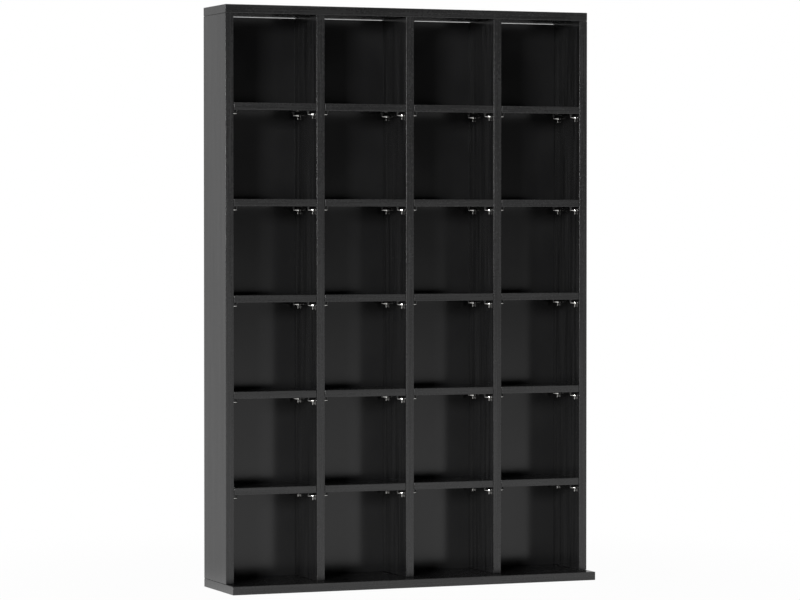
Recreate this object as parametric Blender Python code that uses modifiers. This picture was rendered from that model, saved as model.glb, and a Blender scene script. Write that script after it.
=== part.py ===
"""CD rack: six rows of four compartments in black board.

Two side panels and three dividers stand on a base board, which reaches forward as a foot, and
carry a top board. Twenty loose shelves lie on small metal supports, whose pins sit in the
uprights. Two thin back panels stand in grooves and end just under the top board.

+X is to the right, -Y is the front and +Z is up. The origin is on the floor, under the middle
of the whole rack. All lengths are in metres.
"""

import bmesh
import bpy
from mathutils import Matrix, Vector

# Overall sizes
RACK_WIDTH = 0.880
RACK_HEIGHT = 1.305
BODY_DEPTH = 0.152  # top board and side panels, front to back
FOOT_REACH = 0.048  # how far the base board reaches forward of the body
BAYS = 4
ROWS = 6

# Boards
CARCASS_BOARD = 0.019  # top, base, side panels and dividers
SHELF_BOARD = 0.016
BACK_BOARD = 0.003
BOARD_EDGE = 0.0006  # chamfer along every board edge

# Fits between pieces
SEAT_GAP = 0.0003  # between pieces that touch
SHELF_SIDE_PLAY = 0.001  # shelf end to upright
SHELF_BACK_PLAY = 0.001  # shelf to back panel

# Back panels and their grooves
BACK_INSET = 0.005  # rear edge of the uprights to the rear face of the panel
BACK_GROOVE = 0.006  # depth of the groove
BACK_TOP_GAP = 0.0008  # open slot between panel and top board

# Shelf supports: an upright foot on the wall, a tapered nose, a soft cup on its tip, and a pin
SUPPORT_FRONT_INSET = 0.020  # body front to the front pins
SUPPORT_REAR_INSET = 0.028  # rear pins to the back panel
SUPPORT_SIDES = 8
PIN_RADIUS = 0.0025
PIN_DROP = 0.0076  # rim of the cup to the pin's axis
FOOT_THICKNESS = 0.004
FOOT_WIDTH = 0.0048
FOOT_RISE = 0.0048  # above the pin's axis
FOOT_FALL = 0.0102  # below the pin's axis
NOSE_REACH = 0.0137
NOSE_ROOT_RADIUS = 0.0046
NOSE_TIP_RADIUS = 0.0014
CUP_INSET = 0.0009  # tip of the nose to the cup's axis
CUP_NECK_RADIUS = 0.0015
CUP_RIM_RADIUS = 0.0041

# Screws through the top and base boards into the ends of the uprights
SCREW_RADIUS = 0.0035
SCREW_EDGE_INSET = 0.030  # body front and back panel to the screws' axes
SCREW_HEAD_RADIUS = 0.0048
SCREW_HEAD_HEIGHT = 0.003
SCREW_HEAD_SINK = 0.0004  # head below the board's outer face
SCREW_SIDES = 12

# Overrun of every cutter past the face that it cuts, and of what is joined into its carrier
OVERRUN = 0.002

# Places worked out from the sizes
BASE_DEPTH = BODY_DEPTH + FOOT_REACH
BODY_BACK = BASE_DEPTH / 2
BODY_FRONT = BODY_BACK - BODY_DEPTH
BASE_TOP = CARCASS_BOARD
TOP_UNDERSIDE = RACK_HEIGHT - CARCASS_BOARD
BAY_WIDTH = (RACK_WIDTH - (BAYS + 1) * CARCASS_BOARD) / BAYS
ROW_HEIGHT = (TOP_UNDERSIDE - BASE_TOP - (ROWS - 1) * SHELF_BOARD) / ROWS
BACK_REAR = BODY_BACK - BACK_INSET
BACK_FRONT = BACK_REAR - BACK_BOARD
MIDDLE_UPRIGHT = BAYS // 2
GROOVED_FACES = {0: (1,), MIDDLE_UPRIGHT: (-1, 1), BAYS: (-1,)}  # upright to the ways they look
FACE_NAMES = {-1: "left", 1: "right"}
PIN_ROWS = {
    "front": BODY_FRONT + SUPPORT_FRONT_INSET,
    "rear": BACK_FRONT - SUPPORT_REAR_INSET,
}
SCREW_ROWS = (BODY_FRONT + SCREW_EDGE_INSET, BACK_FRONT - SCREW_EDGE_INSET)


def upright_centre(index):
    """X of an upright's middle: 0 is the left side panel and BAYS the right one."""
    return -RACK_WIDTH / 2 + CARCASS_BOARD / 2 + index * (BAY_WIDTH + CARCASS_BOARD)


def bay_centre(bay):
    """X of the middle of a bay, counted from 1 at the left."""
    return (upright_centre(bay - 1) + upright_centre(bay)) / 2


def shelf_underside(level):
    """Z of a shelf's lower face, with level 1 the highest shelf."""
    return TOP_UNDERSIDE - level * (ROW_HEIGHT + SHELF_BOARD)


def pin_height(level):
    """Z of the pins that carry a level's shelves."""
    return shelf_underside(level) - SEAT_GAP - PIN_DROP


# Scene


def clear_scene():
    for obj in list(bpy.data.objects):
        bpy.data.objects.remove(obj, do_unlink=True)


def new_collection(name):
    collection = bpy.data.collections.new(name)
    bpy.context.scene.collection.children.link(collection)
    return collection


def new_material(name, colour, roughness, metallic):
    material = bpy.data.materials.new(name)
    material.use_nodes = True
    shader = material.node_tree.nodes["Principled BSDF"]
    shader.inputs["Base Color"].default_value = (*colour, 1)
    shader.inputs["Roughness"].default_value = roughness
    shader.inputs["Metallic"].default_value = metallic
    return material


def add_object(name, mesh, location, collection):
    obj = bpy.data.objects.new(name, mesh)
    obj.location = location
    collection.objects.link(obj)
    return obj


def add_part(name, mesh, location, material, rack):
    """An object of the rack, parented to the rack's empty."""
    part = add_object(name, mesh, location, rack["parts"])
    part.parent = rack["origin"]
    if not mesh.materials:
        mesh.materials.append(material)
    return part


def add_cutter(name, mesh, location, rack):
    cutter = add_object(name, mesh, location, rack["cutters"])
    cutter.display_type = "WIRE"
    cutter.hide_render = True
    return cutter


def combine(part, operand, operation):
    boolean = part.modifiers.new(operand.name, "BOOLEAN")
    boolean.operation = operation
    boolean.object = operand
    return boolean


# Shapes


def box_mesh(name, size):
    """A box about its own middle."""
    bm = bmesh.new()
    bmesh.ops.create_cube(bm, size=1)
    bmesh.ops.scale(bm, vec=Vector(size), verts=bm.verts)
    mesh = bpy.data.meshes.new(name)
    bm.to_mesh(mesh)
    bm.free()
    return mesh


def rod_mesh(name, rods, sides):
    """Several rods or cones in one mesh, each as start, direction, length and end radii."""
    bm = bmesh.new()
    for start, direction, length, start_radius, end_radius in rods:
        turn = Vector(direction).to_track_quat("Z", "Y").to_matrix().to_4x4()
        middle = Vector(start) + Vector(direction) * (length / 2)
        bmesh.ops.create_cone(
            bm,
            cap_ends=True,
            segments=sides,
            radius1=start_radius,
            radius2=end_radius,
            depth=length,
            matrix=Matrix.Translation(middle) @ turn,
        )
    mesh = bpy.data.meshes.new(name)
    bm.to_mesh(mesh)
    bm.free()
    return mesh


def union_mesh(name, pieces):
    """One closed mesh from solids that overlap, each as a mesh and its place."""
    solids = [
        add_object(f"{name}_{number}", mesh, place, bpy.context.scene.collection)
        for number, (mesh, place) in enumerate(pieces)
    ]
    for solid in solids[1:]:
        combine(solids[0], solid, "UNION")
    graph = bpy.context.evaluated_depsgraph_get()
    mesh = bpy.data.meshes.new_from_object(solids[0].evaluated_get(graph))
    mesh.transform(Matrix.Translation(solids[0].location))
    mesh.name = name
    for solid in solids:
        bpy.data.objects.remove(solid, do_unlink=True)
    return mesh


def add_board(name, size, centre, material, rack):
    """A board with chamfered edges."""
    board = add_part(name, box_mesh(name, size), centre, material, rack)
    edge = board.modifiers.new("edge", "BEVEL")
    edge.width = BOARD_EDGE
    edge.segments = 1
    return board


# Shelf supports


def support_pieces(side, root):
    """Foot, nose and cup of a support that faces side; root is where the foot starts in X.

    The place of each piece is taken from the pin's axis, with X measured from the wall.
    """
    foot_face = SEAT_GAP + FOOT_THICKNESS
    foot = box_mesh("foot", (foot_face - root, FOOT_WIDTH, FOOT_RISE + FOOT_FALL))
    foot_place = Vector((side * (foot_face + root) / 2, 0, (FOOT_RISE - FOOT_FALL) / 2))
    nose_root = SEAT_GAP + FOOT_THICKNESS / 4
    nose_start = (side * nose_root, 0, 0)
    nose_rod = (nose_start, (side, 0, 0), NOSE_REACH - nose_root, NOSE_ROOT_RADIUS, NOSE_TIP_RADIUS)
    cup_start = (side * (NOSE_REACH - CUP_INSET), 0, 0)
    cup_rod = (cup_start, (0, 0, 1), PIN_DROP, CUP_NECK_RADIUS, CUP_RIM_RADIUS)
    origin = Vector((0, 0, 0))
    return [
        (foot, foot_place),
        (rod_mesh("nose", [nose_rod], SUPPORT_SIDES), origin),
        (rod_mesh("cup", [cup_rod], SUPPORT_SIDES), origin),
    ]


def support_pair_mesh():
    """Two supports back to back on one pin, which goes through a divider."""
    wall = CARCASS_BOARD / 2
    pieces = []
    for side in (-1, 1):
        shift = Vector((side * wall, 0, 0))
        pieces += [(mesh, place + shift) for mesh, place in support_pieces(side, SEAT_GAP)]
    pin_half = wall + SEAT_GAP + FOOT_THICKNESS / 2
    start = (-pin_half, 0, 0)
    pin = rod_mesh("pin", [(start, (1, 0, 0), 2 * pin_half, PIN_RADIUS, PIN_RADIUS)], SUPPORT_SIDES)
    middle = Vector((0, 0, 0))
    return union_mesh("support_pair", [(pin, middle)] + pieces)


def add_support_pairs(material, rack):
    mesh = support_pair_mesh()
    for divider in range(1, BAYS):
        for level in range(1, ROWS):
            for row, depth in PIN_ROWS.items():
                name = f"support_divider{divider}_level{level}_{row}"
                place = (upright_centre(divider), depth, pin_height(level))
                add_part(name, mesh, place, material, rack)


def add_side_supports(panel, side, rack):
    """Supports of a side panel, joined to it; side is the way they face."""
    single = union_mesh("single_support", support_pieces(side, -SEAT_GAP))
    wall = panel.location.x + side * CARCASS_BOARD / 2
    bm = bmesh.new()
    for level in range(1, ROWS):
        for depth in PIN_ROWS.values():
            first = len(bm.verts)
            bm.from_mesh(single)
            bm.verts.ensure_lookup_table()
            place = Vector((wall, depth, pin_height(level)))
            bmesh.ops.translate(bm, vec=place, verts=bm.verts[first:])
    mesh = bpy.data.meshes.new(f"{panel.name}_supports")
    bm.to_mesh(mesh)
    bm.free()
    supports = add_cutter(mesh.name, mesh, (0, 0, 0), rack)
    combine(panel, supports, "UNION")


# Screws


def screw_ends(index):
    """The four screws of an upright: X, Y, the height of the board's outer face, the way in."""
    x = upright_centre(index)
    return [(x, y, face, inward) for y in SCREW_ROWS for face, inward in ((0, 1), (RACK_HEIGHT, -1))]


def rods_from(screws, first, last, radius):
    """One rod at each screw, from a depth below the board's outer face to another."""
    rods = []
    for x, y, face, inward in screws:
        start = (x, y, face + inward * first)
        rods.append((start, (0, 0, inward), last - first, radius, radius))
    return rods


def add_screws(upright, index, rack):
    """Shanks and heads of the screws, joined to the upright that they bite into."""
    screws = screw_ends(index)
    board = CARCASS_BOARD + SEAT_GAP
    head_base = SCREW_HEAD_SINK + SCREW_HEAD_HEIGHT
    head_middle = SCREW_HEAD_SINK + SCREW_HEAD_HEIGHT / 2
    shanks = rods_from(screws, head_middle, board + OVERRUN, SCREW_RADIUS)
    heads = rods_from(screws, SCREW_HEAD_SINK, head_base, SCREW_HEAD_RADIUS)
    for label, rods in (("shanks", shanks), ("heads", heads)):
        name = f"{upright.name}_screw_{label}"
        solid = add_cutter(name, rod_mesh(name, rods, SCREW_SIDES), (0, 0, 0), rack)
        combine(upright, solid, "UNION")


def cut_screw_holes(board, outer_face, rack):
    """Clearance holes and head recesses, in the top or the base board."""
    screws = [end for index in range(BAYS + 1) for end in screw_ends(index) if end[2] == outer_face]
    recess_depth = SCREW_HEAD_SINK + SCREW_HEAD_HEIGHT + SEAT_GAP
    holes = rods_from(screws, -OVERRUN, CARCASS_BOARD + OVERRUN, SCREW_RADIUS + SEAT_GAP)
    recesses = rods_from(screws, -OVERRUN, recess_depth, SCREW_HEAD_RADIUS + SEAT_GAP)
    for label, rods in (("holes", holes), ("recesses", recesses)):
        name = f"{board.name}_{label}"
        cutter = add_cutter(name, rod_mesh(name, rods, SCREW_SIDES), (0, 0, 0), rack)
        combine(board, cutter, "DIFFERENCE")


# Uprights


def drill_divider(divider, rack):
    """Holes right through a divider for the pins of its supports."""
    start_x = divider.location.x - CARCASS_BOARD / 2 - OVERRUN
    length = CARCASS_BOARD + 2 * OVERRUN
    radius = PIN_RADIUS + SEAT_GAP
    rods = [
        ((start_x, depth, pin_height(level)), (1, 0, 0), length, radius, radius)
        for level in range(1, ROWS)
        for depth in PIN_ROWS.values()
    ]
    name = f"{divider.name}_pin_holes"
    holes = add_cutter(name, rod_mesh(name, rods, SUPPORT_SIDES), (0, 0, 0), rack)
    combine(divider, holes, "DIFFERENCE")


def cut_groove(upright, side, rack):
    """A groove for a back panel, in the face of an upright that looks to side."""
    width = BACK_BOARD + 2 * SEAT_GAP
    mesh = box_mesh("groove", (BACK_GROOVE + OVERRUN, width, RACK_HEIGHT))
    face = upright.location.x + side * CARCASS_BOARD / 2
    centre_x = face + side * (OVERRUN - BACK_GROOVE) / 2
    centre = (centre_x, (BACK_FRONT + BACK_REAR) / 2, RACK_HEIGHT / 2)
    groove = add_cutter(f"{upright.name}_groove_{FACE_NAMES[side]}", mesh, centre, rack)
    combine(upright, groove, "DIFFERENCE")


def add_upright(index, name, material, rack):
    """A side panel or divider; those between the grooved ones end at the back panel."""
    grooved = GROOVED_FACES.get(index, ())
    back = BODY_BACK if grooved else BACK_FRONT - SEAT_GAP
    height = TOP_UNDERSIDE - BASE_TOP - 2 * SEAT_GAP
    size = (CARCASS_BOARD, back - BODY_FRONT, height)
    centre = (upright_centre(index), (back + BODY_FRONT) / 2, (BASE_TOP + TOP_UNDERSIDE) / 2)
    upright = add_board(name, size, centre, material, rack)
    for side in grooved:
        cut_groove(upright, side, rack)
    add_screws(upright, index, rack)
    return upright


def add_uprights(material, rack):
    left = add_upright(0, "side_panel_left", material, rack)
    add_side_supports(left, 1, rack)
    right = add_upright(BAYS, "side_panel_right", material, rack)
    add_side_supports(right, -1, rack)
    for index in range(1, BAYS):
        divider = add_upright(index, f"divider_{index}", material, rack)
        drill_divider(divider, rack)


# Top and base boards


def add_top_and_base(material, rack):
    base_size = (RACK_WIDTH, BASE_DEPTH, CARCASS_BOARD)
    base = add_board("base_board", base_size, (0, 0, CARCASS_BOARD / 2), material, rack)
    cut_screw_holes(base, 0, rack)
    top_size = (RACK_WIDTH, BODY_DEPTH, CARCASS_BOARD)
    top_centre = (0, (BODY_FRONT + BODY_BACK) / 2, RACK_HEIGHT - CARCASS_BOARD / 2)
    top = add_board("top_board", top_size, top_centre, material, rack)
    cut_screw_holes(top, RACK_HEIGHT, rack)


# Back panels and shelves


def add_back_panels(material, rack):
    """Two panels that meet in the grooves of the middle divider."""
    reach = CARCASS_BOARD / 2 - BACK_GROOVE + SEAT_GAP
    bottom = BASE_TOP + SEAT_GAP
    top = TOP_UNDERSIDE - BACK_TOP_GAP
    spans = {"back_panel_left": (0, MIDDLE_UPRIGHT), "back_panel_right": (MIDDLE_UPRIGHT, BAYS)}
    for name, (first, last) in spans.items():
        left = upright_centre(first) + reach
        right = upright_centre(last) - reach
        mesh = box_mesh(name, (right - left, BACK_BOARD, top - bottom))
        centre = ((left + right) / 2, (BACK_FRONT + BACK_REAR) / 2, (top + bottom) / 2)
        add_part(name, mesh, centre, material, rack)


def add_shelves(material, rack):
    back = BACK_FRONT - SHELF_BACK_PLAY
    size = (BAY_WIDTH - 2 * SHELF_SIDE_PLAY, back - BODY_FRONT, SHELF_BOARD)
    for level in range(1, ROWS):
        for bay in range(1, BAYS + 1):
            centre = (bay_centre(bay), (back + BODY_FRONT) / 2, shelf_underside(level) + SHELF_BOARD / 2)
            add_board(f"shelf_level{level}_bay{bay}", size, centre, material, rack)


def build_rack():
    clear_scene()
    origin = bpy.data.objects.new("rack_origin", None)
    rack = {"parts": new_collection("cd_rack"), "cutters": new_collection("cutters"), "origin": origin}
    rack["parts"].objects.link(origin)
    carcass = new_material("black_carcass_board", (0.020, 0.020, 0.021), 0.45, 0)
    shelf = new_material("black_shelf_board", (0.018, 0.018, 0.019), 0.48, 0)
    back = new_material("black_back_board", (0.012, 0.012, 0.013), 0.60, 0)
    nickel = new_material("nickel", (0.72, 0.71, 0.69), 0.25, 1)
    add_top_and_base(carcass, rack)
    add_uprights(carcass, rack)
    add_back_panels(back, rack)
    add_shelves(shelf, rack)
    add_support_pairs(nickel, rack)


build_rack()
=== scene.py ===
# %% [markdown]
# # A tall open rack in black board
#
# The real rack is a piece of flat-pack furniture. Two side panels and three dividers stand on a
# base board that reaches forward as a foot, and they carry a top board. Twenty loose shelves lie
# on small metal supports, and two thin panels close the back.
#
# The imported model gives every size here. Each new piece takes its place from the node that it
# stands for, so this file only adds what a plain solid leaves out: rounded edges, smoothly curved
# supports, screw heads, nails, and finishes.

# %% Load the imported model
import math

import bmesh
import bpy
from mathutils import Matrix, Vector


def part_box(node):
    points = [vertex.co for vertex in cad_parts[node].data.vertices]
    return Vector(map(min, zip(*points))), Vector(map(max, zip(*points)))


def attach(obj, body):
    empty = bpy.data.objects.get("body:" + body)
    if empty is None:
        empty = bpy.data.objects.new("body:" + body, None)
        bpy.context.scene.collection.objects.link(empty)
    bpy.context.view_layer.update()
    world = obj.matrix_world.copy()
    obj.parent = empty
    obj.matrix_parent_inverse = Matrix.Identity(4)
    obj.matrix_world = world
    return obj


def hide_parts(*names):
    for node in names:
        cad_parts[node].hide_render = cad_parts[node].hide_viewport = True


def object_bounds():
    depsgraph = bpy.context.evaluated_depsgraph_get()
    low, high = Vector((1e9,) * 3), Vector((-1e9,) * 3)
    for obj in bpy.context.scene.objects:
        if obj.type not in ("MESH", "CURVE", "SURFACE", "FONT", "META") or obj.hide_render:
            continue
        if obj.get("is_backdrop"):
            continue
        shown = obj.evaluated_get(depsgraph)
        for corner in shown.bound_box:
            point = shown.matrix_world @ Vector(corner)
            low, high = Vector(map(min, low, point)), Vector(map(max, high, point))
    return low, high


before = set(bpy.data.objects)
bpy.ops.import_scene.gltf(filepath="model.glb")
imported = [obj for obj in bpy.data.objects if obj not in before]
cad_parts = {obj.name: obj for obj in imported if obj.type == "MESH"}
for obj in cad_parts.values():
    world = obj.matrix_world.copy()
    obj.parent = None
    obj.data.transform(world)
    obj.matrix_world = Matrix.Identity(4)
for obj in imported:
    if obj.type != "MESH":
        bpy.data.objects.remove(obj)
cad_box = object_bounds()
for end, corner_point in zip(("lowest", "highest"), cad_box):
    print(end, "corner:", [round(v, 4) for v in corner_point])

# %% [markdown]
# ## The levels and planes that the pieces share
#
# Most pieces meet on a few planes: the front of the body, the faces of the uprights and the
# undersides of the shelves. They could be typed in again as numbers, but then a change to the
# rack would leave the dressing behind. They are read from the nodes' boxes instead.

# %% Planes and levels
MILLIMETRE = 0.001
SEAT_GAP = 0.3 * MILLIMETRE
BAYS, LEVELS = 4, 5
CARCASS = "carcass"

top_low, top_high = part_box("top_board")
base_low, base_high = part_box("base_board")
body_front, body_back = top_low.y, top_high.y
board_thickness = base_high.z - base_low.z
upright_z = (base_high.z + SEAT_GAP, top_low.z - SEAT_GAP)
print("body front and back:", round(body_front, 4), round(body_back, 4))
print("uprights stand from", round(upright_z[0], 4), "to", round(upright_z[1], 4))

# %% Boxes of the uprights, with what is joined to them left off
upright_nodes = ["side_panel_left", "divider_1", "divider_2", "divider_3", "side_panel_right"]


def upright_box(node):
    """The board alone. A side panel's node also holds its supports, and all hold their screws."""
    low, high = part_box(node)
    if node == "side_panel_left":
        high.x = low.x + board_thickness
    if node == "side_panel_right":
        low.x = high.x - board_thickness
    low.z, high.z = upright_z
    return low, high


uprights = {node: upright_box(node) for node in upright_nodes}
for node, (low, high) in uprights.items():
    print(node, "x from", round(low.x, 4), "to", round(high.x, 4), "back to y", round(high.y, 4))

# %% [markdown]
# ## The camera
#
# The picture is taken from the front left with a long lens, a little above the middle of the
# rack, so that the upright edges stay almost parallel. A camera with a vertical shift would keep
# them exactly parallel. Tipping the camera down by a degree gives the same picture to within a
# pixel, and it keeps the other views free of any shift.

# %% Camera
LENS, SENSOR = 153.94, 36
CAMERA_PLACE = Vector((-2.892, -7.223, 0.827))
TIPPED_DOWN, TURNED_RIGHT = 1.334, 21.795
RACK_MIDDLE = Vector((0, 0, 0.65))

camera_data = bpy.data.cameras.new("camera")
camera_data.lens = LENS
camera_data.sensor_width = SENSOR
camera = bpy.data.objects.new("camera", camera_data)
camera.location = CAMERA_PLACE
camera.rotation_euler = (math.radians(90 - TIPPED_DOWN), 0, math.radians(-TURNED_RIGHT))
bpy.context.scene.collection.objects.link(camera)
bpy.context.scene.camera = camera
bpy.context.scene.view_settings.view_transform = "Standard"
print("camera is", round((CAMERA_PLACE - RACK_MIDDLE).length, 2), "m from the rack")

# %% [markdown]
# ## Small tools for building shader nodes
#
# A material is a graph, and writing each node out by hand takes three lines every time. A few
# short helpers keep the recipes readable. One adds a node and fills in its sockets, and the
# others use it for the nodes that every finish needs: arithmetic, noise, mixed colours and relief.

# %% Helpers for nodes
def fill_socket(tree, socket, value):
    """A socket linked from another node's output, or set to a plain value."""
    if isinstance(value, bpy.types.NodeSocket):
        tree.links.new(value, socket)
    else:
        socket.default_value = value


def add_node(tree, kind, inputs=None, **settings):
    """A node with its settings, and its sockets filled by name or by number."""
    node = tree.nodes.new(kind)
    for key, value in settings.items():
        setattr(node, key, value)
    for key, value in (inputs or {}).items():
        fill_socket(tree, node.inputs[key], value)
    return node


def calculate(tree, operation, first, second=0.5, third=0.5):
    """The output of a Math node."""
    inputs = {0: first, 1: second, 2: third}
    return add_node(tree, "ShaderNodeMath", inputs, operation=operation).outputs[0]


def remap(tree, value, low, high, to_low=0.0, to_high=1.0, smooth=False):
    """The value taken from one range to another, and held at the ends."""
    inputs = {"Value": value, "From Min": low, "From Max": high}
    inputs.update({"To Min": to_low, "To Max": to_high})
    kind = "SMOOTHSTEP" if smooth else "LINEAR"
    return add_node(tree, "ShaderNodeMapRange", inputs, interpolation_type=kind).outputs["Result"]


def add_noise(tree, place, scale, detail, roughness=0.5, distortion=0.0):
    """The value of a noise texture."""
    inputs = {"Vector": place, "Scale": scale, "Detail": detail}
    inputs.update({"Roughness": roughness, "Distortion": distortion})
    return add_node(tree, "ShaderNodeTexNoise", inputs).outputs["Fac"]


def blend_colours(tree, factor, first, second):
    """Two colours mixed by a mask."""
    node = add_node(tree, "ShaderNodeMix", {"Factor": factor}, data_type="RGBA")
    colour_sockets = [socket for socket in node.inputs if socket.type == "RGBA"]
    for socket, value in zip(colour_sockets, (first, second)):
        fill_socket(tree, socket, value)
    return next(socket for socket in node.outputs if socket.type == "RGBA")


def add_relief(tree, shader, height, strength, distance):
    """A height given to a Bump node, which turns the shader's normal."""
    inputs = {"Strength": strength, "Distance": distance, "Height": height}
    bump = add_node(tree, "ShaderNodeBump", inputs)
    tree.links.new(bump.outputs[0], shader.inputs["Normal"])


print("node helpers ready")


# %% Helpers for node groups
def new_group(name, inputs, outputs):
    """An empty shader group. Inputs are vectors or floats with a default; outputs are floats."""
    group = bpy.data.node_groups.new(name, "ShaderNodeTree")
    for label, default in inputs.items():
        kind = "NodeSocketVector" if default is None else "NodeSocketFloat"
        socket = group.interface.new_socket(label, in_out="INPUT", socket_type=kind)
        if default is not None:
            socket.default_value = default
    for label in outputs:
        group.interface.new_socket(label, in_out="OUTPUT", socket_type="NodeSocketFloat")
    entry = group.nodes.new("NodeGroupInput")
    leave = group.nodes.new("NodeGroupOutput")
    return group, entry.outputs, leave.inputs


def use_group(tree, group, inputs):
    """A group placed in a material with its own values."""
    return add_node(tree, "ShaderNodeGroup", inputs, node_tree=group).outputs


def labels(group, in_out):
    """The names of a group's inputs or outputs."""
    return [item.name for item in group.interface.items_tree if item.in_out == in_out]


print("group helpers ready")

# %% [markdown]
# ## Wood grain printed on foil
#
# Cheap black board is chipboard wrapped in a printed foil. Close up it shows broad soft streaks,
# fine lines and short dark pores, all running the same way. A wave texture would repeat too
# plainly. Stretched noise at three widths never repeats, and one group serves every board:
# the streaks run along the vector's Z, and a material turns its vector to turn the grain.

# %% Grain group
# Each layer has its size across and along the grain in metres, its detail, and the two levels of
# the noise between which it comes in.
GRAIN_LAYERS = {
    "Streaks": (0.012, 0.36, 3.0, (0.38, 0.62)),
    "Lines": (0.0036, 0.11, 3.0, (0.38, 0.62)),
    "Pores": (0.0007, 0.011, 1.0, (0.60, 0.72)),
}


def make_grain_group():
    group, given, leaving = new_group("foil_grain", {"Vector": None}, list(GRAIN_LAYERS))
    for label, (across, along, detail, (low, high)) in GRAIN_LAYERS.items():
        scale = (1 / across, 1 / across, 1 / along)
        mapped = add_node(group, "ShaderNodeMapping", {"Vector": given["Vector"], "Scale": scale})
        noise = add_noise(group, mapped.outputs[0], 1.0, detail, roughness=0.55, distortion=0.25)
        group.links.new(remap(group, noise, low, high), leaving[label])
    return group


grain_group = make_grain_group()
print("grain outputs:", labels(grain_group, "OUTPUT"))

# %% [markdown]
# ## Handling marks
#
# Even a new rack has been held, wiped and packed. That shows as soft patches where the gloss is a
# little duller, and as faint rub marks. The patches are a low noise, and the rubs a finer one.
# The group puts out two masks, and each finish decides what they do to its gloss and its colour.

# %% Handling group
RUBS_FINER = 14.0


def make_handling_group():
    inputs = {"Vector": None, "Patch": 0.09}
    group, given, leaving = new_group("handling_marks", inputs, ["Patches", "Rubs"])
    size = calculate(group, "DIVIDE", 1.0, given["Patch"])
    patches = add_noise(group, given["Vector"], size, 2.0)
    finer = calculate(group, "MULTIPLY", size, RUBS_FINER)
    rubs = add_noise(group, given["Vector"], finer, 4.0, roughness=0.6)
    group.links.new(remap(group, patches, 0.35, 0.65, smooth=True), leaving["Patches"])
    group.links.new(remap(group, rubs, 0.45, 0.70, smooth=True), leaving["Rubs"])
    return group


handling_group = make_handling_group()
print("handling inputs:", labels(handling_group, "INPUT"))

# %% [markdown]
# ## Edge bands
#
# The cut front of a chipboard is covered with a strip of the same foil on thicker paper. A fine
# dark line shows where the strip ends and the face begins. The strip is less than a millimetre
# thick, so it is drawn with a mask and not modelled: the group measures how far a point is behind
# the front plane of its board.

# %% Edge band group
BAND_THICKNESS = 0.9 * MILLIMETRE
SEAM_FADES_AT, SEAM_IS_FULL_AT = 0.25 * MILLIMETRE, 0.08 * MILLIMETRE


def make_band_group():
    inputs = {"Vector": None, "Front": 0.0, "Thickness": BAND_THICKNESS}
    group, given, leaving = new_group("edge_band", inputs, ["Band", "Seam"])
    place = add_node(group, "ShaderNodeSeparateXYZ", {"Vector": given["Vector"]})
    depth = calculate(group, "SUBTRACT", place.outputs["Y"], given["Front"])
    band = calculate(group, "LESS_THAN", depth, given["Thickness"])
    past_band = calculate(group, "SUBTRACT", depth, given["Thickness"])
    from_seam = calculate(group, "ABSOLUTE", past_band)
    group.links.new(band, leaving["Band"])
    group.links.new(remap(group, from_seam, SEAM_FADES_AT, SEAM_IS_FULL_AT), leaving["Seam"])
    return group


band_group = make_band_group()
print("band outputs:", labels(band_group, "OUTPUT"))

# %% [markdown]
# ## Settled dust
#
# Flat tops gather a trace of dust, and on black it is the first thing to show. The mask is the
# upward part of the surface's normal, broken up by noise, so walls and undersides stay clean.

# %% Dust group
SPECK_SCALE, DRIFT_SCALE = 420.0, 9.0


def make_dust_group():
    group, given, leaving = new_group("settled_dust", {"Vector": None}, ["Dust"])
    normal = add_node(group, "ShaderNodeNewGeometry").outputs["Normal"]
    facing = add_node(group, "ShaderNodeSeparateXYZ", {"Vector": normal})
    upward = remap(group, facing.outputs["Z"], 0.6, 0.98, smooth=True)
    specks = add_noise(group, given["Vector"], SPECK_SCALE, 3.0, roughness=0.7)
    drifts = add_noise(group, given["Vector"], DRIFT_SCALE, 2.0)
    specks, drifts = remap(group, specks, 0.45, 0.75), remap(group, drifts, 0.30, 0.70)
    amount = calculate(group, "MULTIPLY", specks, drifts)
    group.links.new(calculate(group, "MULTIPLY", upward, amount), leaving["Dust"])
    return group


dust_group = make_dust_group()
print("shared groups:", [g.name for g in bpy.data.node_groups])

# %% [markdown]
# ## Black board
#
# One recipe covers all the boards. Near-black foil keeps a little light in its streaks and loses
# it in its pores. The gloss is a satin one: it mirrors the room softly, and the pores break it.
# The uprights have upright grain, and the boards that lie flat have grain from side to side, so
# the recipe takes a turn for the vector and the plane of the board's front edge.

# %% Board recipe
FOIL_IOR = 1.6
FOIL_GLOSS = 0.11
BLACK, SOFT_BLACK = (0.0070, 0.0070, 0.0073, 1), (0.0300, 0.0300, 0.0305, 1)
BAND_GREY, PORE_BLACK = (0.08, 0.08, 0.08, 1), (0.004, 0.004, 0.004, 1)
SEAM_BLACK, DUST_GREY = (0.003, 0.003, 0.003, 1), (0.30, 0.29, 0.28, 1)


def start_material(name):
    """A new material, with the parts of it that every recipe needs."""
    material = bpy.data.materials.new(name)
    material.use_nodes = True
    tree = material.node_tree
    shader = tree.nodes["Principled BSDF"]
    shader.inputs["IOR"].default_value = FOIL_IOR
    place = add_node(tree, "ShaderNodeTexCoord").outputs["Object"]
    return material, tree, shader, place


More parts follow.
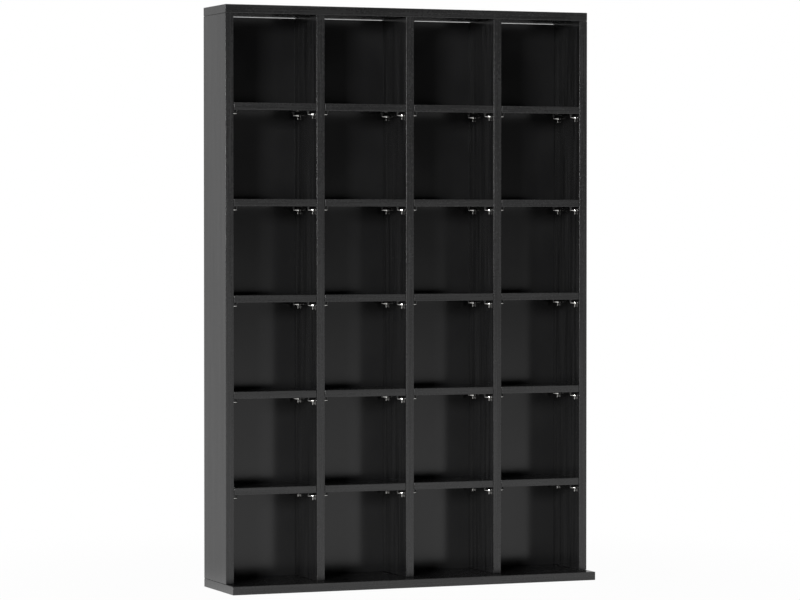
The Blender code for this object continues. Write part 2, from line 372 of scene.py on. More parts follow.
def board_finish(name, grain_turn, front):
    """Foil-covered board, from the turn of its grain and the plane of its front edge."""
    material, tree, shader, place = start_material(name)
    turned_place = add_node(tree, "ShaderNodeMapping", {"Vector": place, "Rotation": grain_turn})
    grain = use_group(tree, grain_group, {"Vector": turned_place.outputs[0]})
    marks = use_group(tree, handling_group, {"Vector": place, "Patch": 0.11})
    band = use_group(tree, band_group, {"Vector": place, "Front": front})
    dust = use_group(tree, dust_group, {"Vector": place})["Dust"]

    # The foil's own two greys, then each layer over them with its strength.
    fine_lines = calculate(tree, "MULTIPLY", grain["Lines"], 0.4)
    tone = calculate(tree, "MULTIPLY_ADD", grain["Streaks"], 0.6, fine_lines)
    colour = blend_colours(tree, tone, BLACK, SOFT_BLACK)
    layers = (
        (band["Band"], 0.14, BAND_GREY),
        (grain["Pores"], 0.55, PORE_BLACK),
        (band["Seam"], 0.8, SEAM_BLACK),
        (dust, 0.10, DUST_GREY),
    )
    for mask, strength, layer in layers:
        covered = calculate(tree, "MULTIPLY", mask, strength)
        colour = blend_colours(tree, covered, colour, layer)
    tree.links.new(colour, shader.inputs["Base Color"])

    # What each mask adds to the roughness.
    dulling = (
        (marks["Patches"], 0.03),
        (marks["Rubs"], 0.03),
        (grain["Pores"], 0.10),
        (grain["Lines"], 0.03),
        (band["Band"], 0.12),
        (dust, 0.25),
    )
    roughness = FOIL_GLOSS
    for mask, amount in dulling:
        roughness = calculate(tree, "MULTIPLY_ADD", mask, amount, roughness)
    tree.links.new(roughness, shader.inputs["Roughness"])

    # Lines stand a little proud, and the pores and the seam are sunk.
    sunk_pores = calculate(tree, "MULTIPLY", grain["Pores"], -0.7)
    relief = calculate(tree, "MULTIPLY_ADD", grain["Lines"], 0.35, sunk_pores)
    sunk_seam = calculate(tree, "MULTIPLY", band["Seam"], 1.5)
    relief = calculate(tree, "SUBTRACT", relief, sunk_seam)
    add_relief(tree, shader, relief, strength=0.22, distance=0.00008)
    return material


UPRIGHT_GRAIN = (0, 0, 0)
CROSS_GRAIN = (0, math.radians(90), 0)
upright_board = board_finish("black_board_upright", UPRIGHT_GRAIN, body_front)
top_board_finish = board_finish("black_board_top", CROSS_GRAIN, body_front)
base_board_finish = board_finish("black_board_base", CROSS_GRAIN, base_low.y)
shelf_board = board_finish("black_board_shelf", CROSS_GRAIN, body_front)
print("board finishes:", [m.name for m in bpy.data.materials if m.name.startswith("black_board")])

# %% [markdown]
# ## Rubbed corners with a painted highlight
#
# Along every corner the foil is bent over or trimmed, and it is rubbed there first. The corner is
# painted paler than the face, which gives it a painted highlight, a thin line of light, and it is
# paler and duller still where it is rubbed, unevenly along its length. It gets a material of its
# own on the narrow faces of the bevel.

# %% Corner recipe
# Both corner colours are paler than the face, which paints a thin highlight along every corner; the
# paler one marks where the foil is rubbed.
CORNER_HIGHLIGHT_DARK, CORNER_HIGHLIGHT_WORN = (0.020, 0.020, 0.021, 1), (0.048, 0.047, 0.046, 1)


def corner_wear_and_highlight_finish():
    material, tree, shader, place = start_material("black_corner_worn_and_highlit")
    marks = use_group(tree, handling_group, {"Vector": place, "Patch": 0.035})
    patches = calculate(tree, "MULTIPLY", marks["Patches"], 0.4)
    amount = calculate(tree, "MULTIPLY_ADD", marks["Rubs"], 0.6, patches)
    colour = blend_colours(tree, amount, CORNER_HIGHLIGHT_DARK, CORNER_HIGHLIGHT_WORN)
    tree.links.new(colour, shader.inputs["Base Color"])
    tree.links.new(remap(tree, amount, 0.0, 1.0, 0.22, 0.40), shader.inputs["Roughness"])
    add_relief(tree, shader, marks["Rubs"], strength=0.2, distance=0.00005)
    return material


corner = corner_wear_and_highlight_finish()
print("corner finish:", corner.name)

# %% [markdown]
# ## Painted hardboard
#
# The back panels are thin pressed fibre. The face towards the shelves is painted a deep, fairly
# shiny black. The reverse keeps the marks of the wire screen that it was pressed on, a grid of
# small dimples. Two crossed waves give the grid, and the Y of the place tells face from reverse.

# %% Hardboard recipe
HARDBOARD_IOR = 1.5
WIRE_PITCH = 1.6 * MILLIMETRE
FIBRE_SCALE = 650.0
PAINT_DEEP, PAINT_PALE = (0.0160, 0.0160, 0.0165, 1), (0.0205, 0.0205, 0.0210, 1)
RAW_DARK, RAW_PALE = (0.010, 0.009, 0.008, 1), (0.030, 0.027, 0.024, 1)


def hardboard_finish(middle_y):
    """Painted in front of the plane at middle_y, and raw with the screen's marks behind it."""
    material, tree, shader, place = start_material("black_hardboard")
    shader.inputs["IOR"].default_value = HARDBOARD_IOR
    axes = add_node(tree, "ShaderNodeSeparateXYZ", {"Vector": place}).outputs
    reverse = calculate(tree, "GREATER_THAN", axes["Y"], middle_y)
    wires = []
    for axis in ("X", "Z"):
        turns = calculate(tree, "MULTIPLY", axes[axis], 2 * math.pi / WIRE_PITCH)
        wires.append(calculate(tree, "MULTIPLY_ADD", calculate(tree, "SINE", turns), 0.5, 0.5))
    screen = calculate(tree, "MULTIPLY", *wires)
    fibre = add_noise(tree, place, FIBRE_SCALE, 3.0, roughness=0.6)
    marks = use_group(tree, handling_group, {"Vector": place, "Patch": 0.16})

    paint = blend_colours(tree, marks["Patches"], PAINT_DEEP, PAINT_PALE)
    raw = blend_colours(tree, fibre, RAW_DARK, RAW_PALE)
    tree.links.new(blend_colours(tree, reverse, paint, raw), shader.inputs["Base Color"])
    front_gloss = calculate(tree, "MULTIPLY_ADD", marks["Patches"], 0.02, 0.17)
    back_gloss = calculate(tree, "MULTIPLY_ADD", fibre, 0.2, 0.55)
    roughness = add_node(tree, "ShaderNodeMix", {0: reverse, 2: front_gloss, 3: back_gloss})
    tree.links.new(roughness.outputs[0], shader.inputs["Roughness"])

    dimples = calculate(tree, "MULTIPLY", screen, reverse)
    relief = calculate(tree, "MULTIPLY_ADD", fibre, 0.15, dimples)
    add_relief(tree, shader, relief, strength=0.4, distance=0.00012)
    return material


panel_low, panel_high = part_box("back_panel_left")
hardboard = hardboard_finish((panel_low.y + panel_high.y) / 2)
print("hardboard is", round((panel_high.y - panel_low.y) / MILLIMETRE, 2), "mm thick")

# %% [markdown]
# ## Plated metal
#
# The shelf supports are castings with bright nickel on them, and the screws have duller zinc.
# Plating shows faint drawing lines and small cloudy spots. One recipe makes both: it takes the
# colour of the metal and the range of its gloss.

# %% Metal recipe
LINE_SCALE = (900, 9000, 9000)


def plated_finish(name, bright, cloudy, gloss, haze):
    """Plated metal with its two colours, its lowest roughness, and what the rubs add to that."""
    material, tree, shader, place = start_material(name)
    shader.inputs["Metallic"].default_value = 1.0
    marks = use_group(tree, handling_group, {"Vector": place, "Patch": 0.006})
    lines_place = add_node(tree, "ShaderNodeMapping", {"Vector": place, "Scale": LINE_SCALE})
    lines = add_noise(tree, lines_place.outputs[0], 1.0, 2.0)
    colour = blend_colours(tree, marks["Patches"], (*bright, 1), (*cloudy, 1))
    tree.links.new(colour, shader.inputs["Base Color"])
    dulled = calculate(tree, "MULTIPLY_ADD", marks["Rubs"], haze, gloss)
    roughness = calculate(tree, "MULTIPLY_ADD", lines, 0.06, dulled)
    tree.links.new(roughness, shader.inputs["Roughness"])
    add_relief(tree, shader, lines, strength=0.15, distance=0.00002)
    return material


nickel = plated_finish("bright_nickel", (0.70, 0.69, 0.67), (0.58, 0.57, 0.55), 0.05, 0.07)
zinc = plated_finish("screw_zinc", (0.62, 0.63, 0.64), (0.46, 0.46, 0.45), 0.28, 0.20)
print("metals:", nickel.name, zinc.name)

# %% [markdown]
# ## Grey rubber
#
# The cups on the supports are soft rubber, dark grey and dull, with a bloom of fine dust in the
# moulded skin.

# %% Rubber recipe
RUBBER_IOR = 1.45
SKIN_SCALE = 2600.0
RUBBER_DARK, RUBBER_BLOOM = (0.045, 0.045, 0.045, 1), (0.070, 0.070, 0.069, 1)


def rubber_finish():
    material, tree, shader, place = start_material("grey_rubber")
    shader.inputs["IOR"].default_value = RUBBER_IOR
    marks = use_group(tree, handling_group, {"Vector": place, "Patch": 0.008})
    colour = blend_colours(tree, marks["Patches"], RUBBER_DARK, RUBBER_BLOOM)
    tree.links.new(colour, shader.inputs["Base Color"])
    tree.links.new(remap(tree, marks["Rubs"], 0.0, 1.0, 0.35, 0.50), shader.inputs["Roughness"])
    skin = add_noise(tree, place, SKIN_SCALE, 2.0)
    add_relief(tree, shader, skin, strength=0.2, distance=0.00003)
    return material


rubber = rubber_finish()
print("rubber:", rubber.name)

# %% [markdown]
# ## From a bmesh to a piece
#
# Every piece ends the same way: the bmesh becomes a mesh, the object sits at the origin with its
# place in the vertices, it is parented to the body it rides on, it takes its finishes, and the
# nodes that it stands for are hidden. One helper does all of it.

# %% Helpers for pieces
def finish_piece(name, bm, materials, body, nodes):
    """The bmesh made into an object on its body, with its finishes, and the nodes it stands for
    hidden.
    """
    bmesh.ops.recalc_face_normals(bm, faces=bm.faces)
    mesh = bpy.data.meshes.new(name)
    bm.to_mesh(mesh)
    bm.free()
    for material in materials:
        mesh.materials.append(material)
    piece = bpy.data.objects.new(name, mesh)
    bpy.context.scene.collection.objects.link(piece)
    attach(piece, body)
    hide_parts(*nodes)
    return piece


def block(low, high):
    """A bmesh block that fills the box between two corners."""
    bm = bmesh.new()
    bmesh.ops.create_cube(bm, size=1)
    bmesh.ops.scale(bm, vec=high - low, verts=bm.verts)
    bmesh.ops.translate(bm, vec=(low + high) / 2, verts=bm.verts)
    return bm


def round_edges(bm, edges, radius, segments):
    """Edges rounded with a bevel. The new narrow faces shade smoothly and are handed back."""
    made = bmesh.ops.bevel(
        bm,
        geom=list(edges),
        offset=radius,
        offset_type="OFFSET",
        segments=segments,
        profile=0.5,
        affect="EDGES",
        clamp_overlap=True,
        material=-1,
    )
    for face in made["faces"]:
        face.smooth = True
    return made["faces"]


def sharp_edges(bm, angle):
    """The edges whose two faces meet at more than an angle."""
    return [e for e in bm.edges if e.is_manifold and e.calc_face_angle() > angle]


print("helpers for pieces ready")

# %% [markdown]
# ## Cutting one solid from another
#
# The back panels stand in grooves, and the screw heads sit in recesses. A saw and a drill make
# these, and a boolean is the nearest thing that Blender has to them. The cutters are built as one
# bmesh, the boolean is applied at once, and the cutter is thrown away.

# %% Boolean helper
def carve(bm, cutter_bm):
    """The first solid with the second cut out of it, as a new bmesh. Both are used up."""
    made = []
    for label, source in (("carved", bm), ("cutter", cutter_bm)):
        mesh = bpy.data.meshes.new(label)
        source.to_mesh(mesh)
        source.free()
        made.append(bpy.data.objects.new(label, mesh))
        bpy.context.scene.collection.objects.link(made[-1])
    solid, cutter = made
    boolean = solid.modifiers.new("cut", "BOOLEAN")
    boolean.operation, boolean.object, boolean.solver = "DIFFERENCE", cutter, "EXACT"
    graph = bpy.context.evaluated_depsgraph_get()
    result = bmesh.new()
    result.from_object(solid, graph)
    for obj in made:
        bpy.data.meshes.remove(obj.data, do_unlink=True)
    return result


print("boolean helper ready")

# %% [markdown]
# ## Uprights
#
# Side panels and dividers are plain boards on edge. Their corners are rounded by a millimetre,
# enough to catch a thin line of light. The bevel comes before the groove, because a real groove
# is sawn last and keeps sharp lips.

# %% Uprights
CORNER_RADIUS, CORNER_STEPS = 1.0 * MILLIMETRE, 3
GROOVE_DEPTH = 6 * MILLIMETRE
GROOVED_FACES = {
    "side_panel_left": ["high"],
    "divider_2": ["low", "high"],
    "side_panel_right": ["low"],
}
PAST_THE_TOP = 0.1
groove_y = (panel_low.y - SEAT_GAP, panel_high.y + SEAT_GAP)


def rounded_board(low, high):
    """A block with all its corners rounded, and the rounding given the corner's finish."""
    bm = block(low, high)
    for face in round_edges(bm, bm.edges, CORNER_RADIUS, CORNER_STEPS):
        face.material_index = 1
    return bm


def groove_cutter(low, high, faces):
    """A bar for each grooved face, from the floor to past the top of the board."""
    cutter = bmesh.new()
    for side in faces:
        face = low.x if side == "low" else high.x
        start = Vector((face - GROOVE_DEPTH, groove_y[0], 0))
        end = Vector((face + GROOVE_DEPTH, groove_y[1], high.z + PAST_THE_TOP))
        piece = bmesh.ops.create_cube(cutter, size=1)["verts"]
        bmesh.ops.scale(cutter, vec=end - start, verts=piece)
        bmesh.ops.translate(cutter, vec=(start + end) / 2, verts=piece)
    return cutter


for node, (low, high) in uprights.items():
    bm = rounded_board(low, high)
    if node in GROOVED_FACES:
        bm = carve(bm, groove_cutter(low, high, GROOVED_FACES[node]))
    materials = [upright_board, corner]
    upright = finish_piece(f"{node}_board", bm, materials, CARCASS, [node])
    print(upright.name, "faces:", len(upright.data.polygons))

# %% [markdown]
# ## Top and base boards with their screw recesses
#
# Ten screws go down through the top board and ten up through the base, two into each upright.
# Each head sits in a shallow round recess. The screws' places come from the uprights: the node of
# an upright holds its screws, and they stand a fixed distance in from its front and from the panel.

# %% Top and base boards
SCREW_INSET = 30 * MILLIMETRE
HEAD_RADIUS, HEAD_HEIGHT, HEAD_SINK = 4.8 * MILLIMETRE, 3.0 * MILLIMETRE, 0.4 * MILLIMETRE
RECESS_SIDES = 32
screw_x = [(low.x + high.x) / 2 for low, high in uprights.values()]
screw_y = (body_front + SCREW_INSET, panel_low.y - SCREW_INSET)


def recess_cutter(face_z):
    """A short cylinder for each screw head, half of it outside the board."""
    cutter = bmesh.new()
    depth = HEAD_SINK + HEAD_HEIGHT + SEAT_GAP
    for x in screw_x:
        for y in screw_y:
            bmesh.ops.create_cone(
                cutter,
                cap_ends=True,
                segments=RECESS_SIDES,
                radius1=HEAD_RADIUS + SEAT_GAP,
                radius2=HEAD_RADIUS + SEAT_GAP,
                depth=2 * depth,
                matrix=Matrix.Translation((x, y, face_z)),
            )
    return cutter


flat_boards = (
    ("top_board", top_board_finish, top_high.z),
    ("base_board", base_board_finish, base_low.z),
)
for node, material, outer in flat_boards:
    bm = carve(rounded_board(*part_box(node)), recess_cutter(outer))
    materials = [material, corner]
    board = finish_piece(f"{node}_dressed", bm, materials, CARCASS, [node])
    print(board.name, "faces:", len(board.data.polygons), "recesses:", len(screw_x) * len(screw_y))

# %% [markdown]
# ## Screw heads
#
# The heads are flat discs with a hexagon socket for a small key. A boolean could cut the socket,
# but a bridge is cleaner: a hexagon whose sides are split into four has as many points as the
# round rim, so the two rings join in a tidy fan, and the hexagon is then pushed down.

# %% Screw heads
SOCKET_RADIUS, SOCKET_DEPTH = 2.3 * MILLIMETRE, 1.7 * MILLIMETRE
SOCKET_SIDES, HEAD_SIDES = 6, 24
HEAD_ROUNDING, HEAD_STEPS = 0.5 * MILLIMETRE, 3
HEAD_SHARP = math.radians(50)


def screw_head(x, y, face_z, inward):
    """A head that looks out of its board. Inward is +1, or up, in the base and -1 in the top."""
    bm = bmesh.new()
    bmesh.ops.create_circle(bm, segments=SOCKET_SIDES, radius=SOCKET_RADIUS)
    bmesh.ops.subdivide_edges(bm, edges=bm.edges, cuts=HEAD_SIDES // SOCKET_SIDES - 1)
    socket_ring = list(bm.edges)
    bmesh.ops.create_circle(bm, segments=HEAD_SIDES, radius=HEAD_RADIUS)
    rim_ring = [e for e in bm.edges if e not in socket_ring]
    bmesh.ops.bridge_loops(bm, edges=socket_ring + rim_ring)
    for ring, depth in ((socket_ring, SOCKET_DEPTH), (rim_ring, HEAD_HEIGHT)):
        pulled = bmesh.ops.extrude_edge_only(bm, edges=ring)["geom"]
        verts = [v for v in pulled if isinstance(v, bmesh.types.BMVert)]
        bmesh.ops.translate(bm, vec=(0, 0, -depth), verts=verts)
        new_ring = [e for e in pulled if isinstance(e, bmesh.types.BMEdge)]
        bmesh.ops.contextual_create(bm, geom=new_ring)

    def on_top_rim(vert):
        """Whether a point is on the rim and not on the socket, the flat or the underside."""
        return vert.co.xy.length > 0.9 * HEAD_RADIUS and vert.co.z > -0.1 * MILLIMETRE

    outer = [e for e in sharp_edges(bm, HEAD_SHARP) if all(on_top_rim(v) for v in e.verts)]
    round_edges(bm, outer, HEAD_ROUNDING, HEAD_STEPS)
    turn = Matrix.Rotation(math.pi, 4, "X") if inward > 0 else Matrix.Identity(4)
    place = Matrix.Translation((x, y, face_z + inward * HEAD_SINK))
    bmesh.ops.transform(bm, matrix=place @ turn, verts=bm.verts)
    return bm


heads = []
for node, x in zip(upright_nodes, screw_x):
    for row, y in zip(("front", "rear"), screw_y):
        for end, face_z, inward in (("top", top_high.z, -1), ("base", base_low.z, 1)):
            bm = screw_head(x, y, face_z, inward)
            name = f"screw_{node}_{end}_{row}"
            heads.append(finish_piece(name, bm, [zinc], CARCASS, [node]))
print("screw heads:", len(heads), "with", len(heads[0].data.polygons), "faces each")

# %% [markdown]
# ## Back panels and their nails
#
# Two sheets of hardboard slide into the grooves and meet in the middle divider. The dividers at
# either side of it end in front of the panels, so small nails through the hardboard hold them.
# Only the flat heads show, on the reverse. The sheets stand on the base board, with no light
# showing under them, and stop a hair below the top board, where the photograph has a bright slot.

# %% Back panels
SHEET_ROUNDING, SHEET_STEPS = 0.25 * MILLIMETRE, 2

for side in ("left", "right"):
    node = f"back_panel_{side}"
    low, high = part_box(node)
    bm = block(low - Vector((0, 0, SEAT_GAP)), high)
    round_edges(bm, bm.edges, SHEET_ROUNDING, SHEET_STEPS)
    sheet = finish_piece(f"{node}_sheet", bm, [hardboard], CARCASS, [node])
    print(sheet.name, [round(v, 4) for v in sheet.dimensions])

# %% Nails
NAILS, NAIL_SIDES = 6, 16
NAIL_END_INSET = 60 * MILLIMETRE
NAIL_RADIUS, NAIL_HEIGHT = 2.6 * MILLIMETRE, 0.9 * MILLIMETRE
NAIL_TAPER = 0.55
NAIL_ROUNDING, NAIL_STEPS = 0.3 * MILLIMETRE, 2
NAIL_SHARP = math.radians(20)


def nail_row(x, low_z, high_z):
    """Low domed heads in one upright row, each turned to look back."""
    bm = bmesh.new()
    y = panel_high.y + NAIL_HEIGHT / 2 - SEAT_GAP
    turn = Matrix.Rotation(math.radians(-90), 4, "X")
    for number in range(NAILS):
        z = low_z + (high_z - low_z) * number / (NAILS - 1)
        bmesh.ops.create_cone(
            bm,
            cap_ends=True,
            segments=NAIL_SIDES,
            radius1=NAIL_RADIUS,
            radius2=NAIL_TAPER * NAIL_RADIUS,
            depth=NAIL_HEIGHT,
            matrix=Matrix.Translation((x, y, z)) @ turn,
        )
    rims = sharp_edges(bm, NAIL_SHARP)
    outer = [e for e in rims if all(v.co.y > panel_high.y for v in e.verts)]
    round_edges(bm, outer, NAIL_ROUNDING, NAIL_STEPS)
    return bm


for node, side in (("divider_1", "left"), ("divider_3", "right")):
    low, high = uprights[node]
    bm = nail_row((low.x + high.x) / 2, low.z + NAIL_END_INSET, high.z - NAIL_END_INSET)
    nails = finish_piece(f"nails_{node}", bm, [zinc], CARCASS, [f"back_panel_{side}"])
    print(nails.name, "faces:", len(nails.data.polygons))

# %% [markdown]
# ## Shelves
#
# A shelf is a thinner board with the same rounded corners. It slides out on its own, so each one
# rides on its own body, which carries the same name as its node.

# %% Shelves
shelves = []
for level in range(1, LEVELS + 1):
    for bay in range(1, BAYS + 1):
        node = f"shelf_level{level}_bay{bay}"
        bm = rounded_board(*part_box(node))
        materials = [shelf_board, corner]
        shelves.append(finish_piece(f"{node}_board", bm, materials, node, [node]))
shelf_size = [round(v / MILLIMETRE, 2) for v in shelves[0].dimensions]
print("shelves:", len(shelves), "of", shelf_size, "mm")

# %% [markdown]
# ## Shelf supports
#
# Each support is a small casting in bright nickel: a narrow foot against the wall, and a nose on
# the axis of its pin that swells near the wall and tapers to its tip. A grey rubber cup stands on
# the tip and carries the shelf, so that it neither slides nor scratches. The foot is a rounded
# block. The nose and the cup are turned shapes, so a profile of a few points is spun round an axis.

# %% Turning a profile
MERGE_DISTANCE = 0.002 * MILLIMETRE


def turned(profile, axis, sides):
    """A closed solid spun round X or Z, from points in millimetres as along, radius."""
    points = [(along * MILLIMETRE, radius * MILLIMETRE) for along, radius in profile]
    if axis == "X":
        places, turn_axis = [(along, 0, radius) for along, radius in points], (1, 0, 0)
    else:
        places, turn_axis = [(radius, 0, along) for along, radius in points], (0, 0, 1)
    bm = bmesh.new()
    verts = [bm.verts.new(place) for place in places]
    edges = [bm.edges.new(pair) for pair in zip(verts, verts[1:])]
    bmesh.ops.spin(
        bm,
        geom=verts + edges,
        cent=(0, 0, 0),
        axis=turn_axis,
        angle=2 * math.pi,
        steps=sides,
        use_merge=True,
    )
    bmesh.ops.remove_doubles(bm, verts=bm.verts, dist=MERGE_DISTANCE)
    bmesh.ops.recalc_face_normals(bm, faces=bm.faces)
    for face in bm.faces:
        face.smooth = True
    return bm


print("turning helper ready")

# %% Support shape
FOOT_THICKNESS, FOOT_WIDTH = 4.0 * MILLIMETRE, 4.8 * MILLIMETRE
FOOT_RISE, FOOT_FALL = 4.8 * MILLIMETRE, 10.2 * MILLIMETRE
FOOT_END_ROUNDING, FOOT_END_STEPS = 2.2 * MILLIMETRE, 5
FOOT_FACE_ROUNDING, FOOT_FACE_STEPS = 0.8 * MILLIMETRE, 3
CUP_PLACE = 12.8 * MILLIMETRE
NOSE_SIDES, CUP_SIDES = 28, 24

# Both profiles start and end on the axis.
NOSE_PROFILE = [
    (0, 0), (0, 4.0), (0.4, 4.5), (1.2, 4.8), (2.2, 4.75), (3.2, 4.3), (4.2, 3.6),
    (5.4, 2.8), (7.0, 2.0), (9.0, 1.45), (11.5, 1.1), (13.0, 1.0), (13.6, 0.6), (13.7, 0),
]
CUP_PROFILE = [
    (0, 0), (0, 1.5), (1.6, 1.5), (3.4, 1.9), (5.5, 2.8),
    (7.2, 3.9), (7.5, 4.1), (7.6, 3.9), (7.4, 3.3), (6.9, 0),
]


def support_foot():
    """The narrow upright foot, with the wall at X = 0 and the pin's axis along X."""
    low = Vector((0, -FOOT_WIDTH / 2, -FOOT_FALL))
    high = Vector((FOOT_THICKNESS, FOOT_WIDTH / 2, FOOT_RISE))
    bm = block(low, high)

    def runs_out(edge):
        """Whether an edge of the block runs straight out from the wall."""
        one, other = (v.co for v in edge.verts)
        return one.z == other.z and one.x != other.x

    ends = [e for e in bm.edges if runs_out(e)]
    round_edges(bm, ends, FOOT_END_ROUNDING, FOOT_END_STEPS)
    outer = [e for e in bm.edges if all(v.co.x > high.x - SEAT_GAP for v in e.verts)]
    round_edges(bm, outer, FOOT_FACE_ROUNDING, FOOT_FACE_STEPS)
    return bm


foot = support_foot()
nose = turned(NOSE_PROFILE, "X", NOSE_SIDES)
cup = turned(CUP_PROFILE, "Z", CUP_SIDES)
bmesh.ops.translate(cup, vec=(CUP_PLACE, 0, 0), verts=cup.verts)
for face in cup.faces:
    face.material_index = 1
support_shapes = []
for label, shape in (("foot", foot), ("nose", nose), ("cup", cup)):
    support_shapes.append(bpy.data.meshes.new(f"support_{label}"))
    shape.to_mesh(support_shapes[-1])
    shape.free()
print("faces in one support:", sum(len(mesh.polygons) for mesh in support_shapes))


# %% Supports in place
def add_support(bm, wall_x, side, y, z):
    """One support added to a bmesh. Side is +1 on a wall that looks right and -1 on the others."""
    first = len(bm.verts)
    for mesh in support_shapes:
        bm.from_mesh(mesh)
    bm.verts.ensure_lookup_table()
    verts = bm.verts[first:]
    turn = Matrix.Identity(4) if side > 0 else Matrix.Rotation(math.pi, 4, "Z")
    place = Matrix.Translation((wall_x + side * SEAT_GAP, y, z))
    bmesh.ops.transform(bm, matrix=place @ turn, verts=verts)


supports = []
for level in range(1, LEVELS + 1):
    for row in ("front", "rear"):
        for index, node in enumerate(upright_nodes):
            divider = min(max(index, 1), BAYS - 1)
            low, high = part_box(f"support_divider{divider}_level{level}_{row}")
            pin_y, pin_z = (low.y + high.y) / 2, low.z + FOOT_FALL
            board_low, board_high = uprights[node]
            bm = bmesh.new()
            if index < BAYS:
                add_support(bm, board_high.x, 1, pin_y, pin_z)
            if index > 0:
                add_support(bm, board_low.x, -1, pin_y, pin_z)
            on_side_panel = index in (0, BAYS)
            stands_for = node if on_side_panel else f"support_divider{index}_level{level}_{row}"
            name = f"supports_{node}_level{level}_{row}"
            materials = [nickel, rubber]
            supports.append(finish_piece(name, bm, materials, CARCASS, [stands_for]))
print("support pieces:", len(supports), "first at y", round(pin_y, 4))

# %% [markdown]
# ## Floor and light
#
# The rack stands in a white studio. White paper runs from under the rack up behind it, and the
# space in front is dim above the horizon, as it is where a photographer stands. That is why the
# foil looks pale on the side that mirrors the paper and dark on the fronts high up. Paper behind
# the rack would hide it from the other views, so the world stands for it instead.
#
# The camera sees the floor as pure white, but for a trace of the rack's shadow close to it. What
# the foil mirrors is a paper that grows darker far out in front and stays grey behind.
#
# One softbox far away at the front left lights the fronts and reaches into the compartments. From
# there it is small, so the uprights throw fairly crisp shadows on the back panels. It hangs low
# enough to touch the noses of the front supports, which shine, and too high for the rear ones. A
# soft fill from the far left lights the side of the rack.

# %% Floor
FLOOR_SIZE = 80

floor_mesh = bpy.data.meshes.new("floor")
floor_bm = bmesh.new()
bmesh.ops.create_grid(floor_bm, x_segments=1, y_segments=1, size=FLOOR_SIZE / 2)
floor_bm.to_mesh(floor_mesh)
floor_bm.free()
floor = bpy.data.objects.new("floor", floor_mesh)
bpy.context.scene.collection.objects.link(floor)
floor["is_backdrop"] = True
print("floor:", FLOOR_SIZE, "m square")

# %% Floor finish
# The ranges are in metres, and the powers are powers of ten of them. A pair of levels belongs to
# the two ends of the range before it, and BEHIND_LEVEL to the paper past the end of its range.
WHITE, PAPER = (1, 1, 1, 1), (0.86, 0.86, 0.86, 1)
SHADOW_RANGE, SHADOW_WHITE = (0.5, 1.6), (0.975, 1.0)
BEHIND_RANGE, BEHIND_LEVEL = (-0.4, 0.6), 0.51
FADE_POWERS, FADE_LEVELS = (0.8, 1.6), (0.95, 0.36)

floor_material = bpy.data.materials.new("white_floor")
floor_material.use_nodes = True
tree = floor_material.node_tree
tree.nodes.clear()
seen = add_node(tree, "ShaderNodeLightPath").outputs
through = calculate(tree, "MAXIMUM", seen["Is Glossy Ray"], seen["Is Transmission Ray"])
direct = calculate(tree, "MAXIMUM", seen["Is Camera Ray"], through)
floor_place = add_node(tree, "ShaderNodeTexCoord").outputs["Object"]
distance = add_node(tree, "ShaderNodeVectorMath", {0: floor_place}, operation="LENGTH")
distance = distance.outputs["Value"]
clear = remap(tree, distance, *SHADOW_RANGE, *SHADOW_WHITE, smooth=True)
depth = add_node(tree, "ShaderNodeSeparateXYZ", {"Vector": floor_place}).outputs["Y"]
behind = remap(tree, depth, *BEHIND_RANGE, smooth=True)
power = calculate(tree, "LOGARITHM", distance, 10.0)
faded = remap(tree, power, *FADE_POWERS, *FADE_LEVELS)
levels = add_node(tree, "ShaderNodeMix", {0: behind, 2: faded, 3: BEHIND_LEVEL})
strength = calculate(tree, "MAXIMUM", seen["Is Camera Ray"], levels.outputs[0])
paper = add_node(tree, "ShaderNodeBsdfDiffuse", {"Color": PAPER})
white = add_node(tree, "ShaderNodeEmission", {"Color": WHITE, "Strength": strength})
share = calculate(tree, "MULTIPLY", direct, clear)
inputs = {0: share, 1: paper.outputs[0], 2: white.outputs[0]}
mixed = add_node(tree, "ShaderNodeMixShader", inputs)
tree.links.new(mixed.outputs[0], add_node(tree, "ShaderNodeOutputMaterial").inputs["Surface"])
floor_mesh.materials.append(floor_material)
print("floor finish:", floor_material.name)

# %% World
# Each range is two values of a direction's Y, Z or X, and the levels are those at its two ends.
FORWARD_RANGE, LOW_RANGE = (-0.25, -0.75), (0.75, 0.35)
FILL_RANGE, FILL_LEVELS = (-0.6, -0.95), (0.035, 1.6)

world = bpy.data.worlds.new("studio")
bpy.context.scene.world = world
world.use_nodes = True
tree = world.node_tree
tree.nodes.clear()


def white_sky(strength):
    """A white background of some strength."""
    inputs = {"Color": WHITE, "Strength": strength}
    return add_node(tree, "ShaderNodeBackground", inputs).outputs[0]


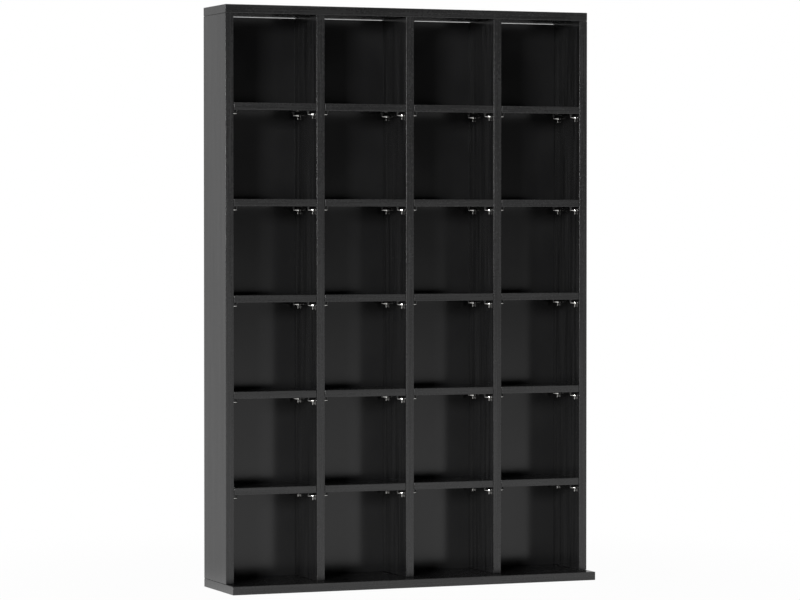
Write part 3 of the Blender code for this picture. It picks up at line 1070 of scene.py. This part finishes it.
seen = add_node(tree, "ShaderNodeLightPath").outputs
direction = add_node(tree, "ShaderNodeTexCoord").outputs["Generated"]
way = add_node(tree, "ShaderNodeSeparateXYZ", {"Vector": direction}).outputs
forward = remap(tree, way["Y"], *FORWARD_RANGE, smooth=True)
low_down = remap(tree, way["Z"], *LOW_RANGE, smooth=True)
dim = calculate(tree, "MULTIPLY", forward, low_down)
mirrored = white_sky(remap(tree, dim, 0.0, 1.0, BEHIND_LEVEL, 0.0))
ambient = white_sky(remap(tree, way["X"], *FILL_RANGE, *FILL_LEVELS, smooth=True))
plain = white_sky(1.0)
inputs = {0: seen["Is Glossy Ray"], 1: ambient, 2: mirrored}
softened = add_node(tree, "ShaderNodeMixShader", inputs)
direct = calculate(tree, "MAXIMUM", seen["Is Camera Ray"], seen["Is Transmission Ray"])
inputs = {0: direct, 1: softened.outputs[0], 2: plain}
mixed = add_node(tree, "ShaderNodeMixShader", inputs)
tree.links.new(mixed.outputs[0], add_node(tree, "ShaderNodeOutputWorld").inputs["Surface"])
print("world:", world.name)

# %% Lamps
LAMP_PLACE = Vector((-10.7, -11.9, 3.45))
LAMP_WIDTH, LAMP_HEIGHT, LAMP_WATTS = 3.2, 2.6, 1340

lamp_data = bpy.data.lights.new("tall_softbox", "AREA")
lamp_data.shape, lamp_data.size, lamp_data.size_y = "RECTANGLE", LAMP_WIDTH, LAMP_HEIGHT
lamp_data.energy = LAMP_WATTS
lamp = bpy.data.objects.new("tall_softbox", lamp_data)
lamp.location = LAMP_PLACE
level_aim = Vector((0, 0, LAMP_PLACE.z)) - LAMP_PLACE
lamp.rotation_euler = level_aim.to_track_quat("-Z", "Y").to_euler()
lamp.visible_camera = False
bpy.context.scene.collection.objects.link(lamp)
print("softbox:", LAMP_WIDTH, "by", LAMP_HEIGHT, "m at", round(LAMP_PLACE.length, 2), "m")

# %% [markdown]
# ## Last measurements
#
# The dressed rack must keep the size of the imported one.

# %% Compare the two boxes and finish
dressed_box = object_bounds()
differences = [abs(a - b) for c, d in zip(cad_box, dressed_box) for a, b in zip(c, d)]
print("largest difference in mm:", round(max(differences) / MILLIMETRE, 3))
